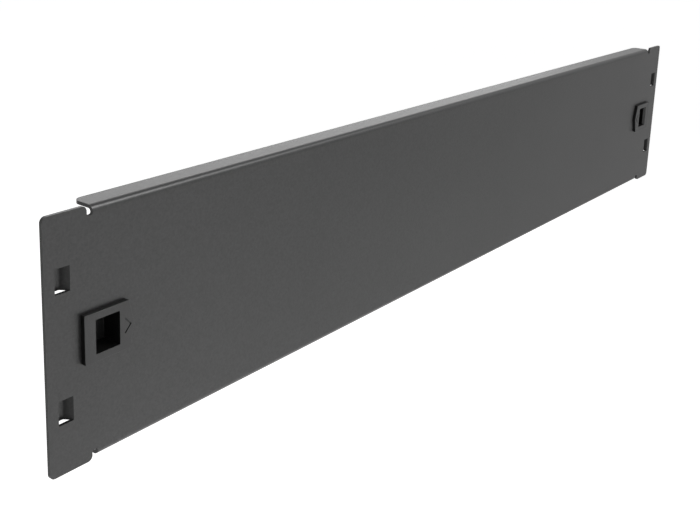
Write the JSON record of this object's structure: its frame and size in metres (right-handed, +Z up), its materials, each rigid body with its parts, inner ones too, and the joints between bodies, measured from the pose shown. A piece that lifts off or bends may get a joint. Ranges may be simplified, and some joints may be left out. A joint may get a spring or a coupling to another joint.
{
  "type": "rack blanking panel",
  "caption": "Folded sheet steel blanking panel for an equipment rack, with hooks on its ears and sliding finger latches that need no tools.",
  "frame": {"origin": "on the plane where the ears' backs seat on the rack rails, at mid length and mid height", "axes": "X along the panel, +Y backward into the rack, +Z up; the front looks towards -Y"},
  "size_m": [0.4826, 0.0118, 0.0882],
  "materials": {
    "painted_sheet": "fine textured dark grey powder coat",
    "black_plastic": "matt moulded plastic"
  },
  "bodies": {
    "panel": {"panel": "painted_sheet"},
    "latch_left": {"latch_left": "black_plastic"},
    "latch_right": {"latch_right": "black_plastic"}
  },
  "joints": [
    {"name": "latch_left_slide", "type": "slide", "parent": "panel", "child": "latch_left", "axis": [1, 0, 0], "range_m": [0, 0.0024]},
    {"name": "latch_right_slide", "type": "slide", "parent": "panel", "child": "latch_right", "axis": [-1, 0, 0], "range_m": [0, 0.0024]}
  ]
}
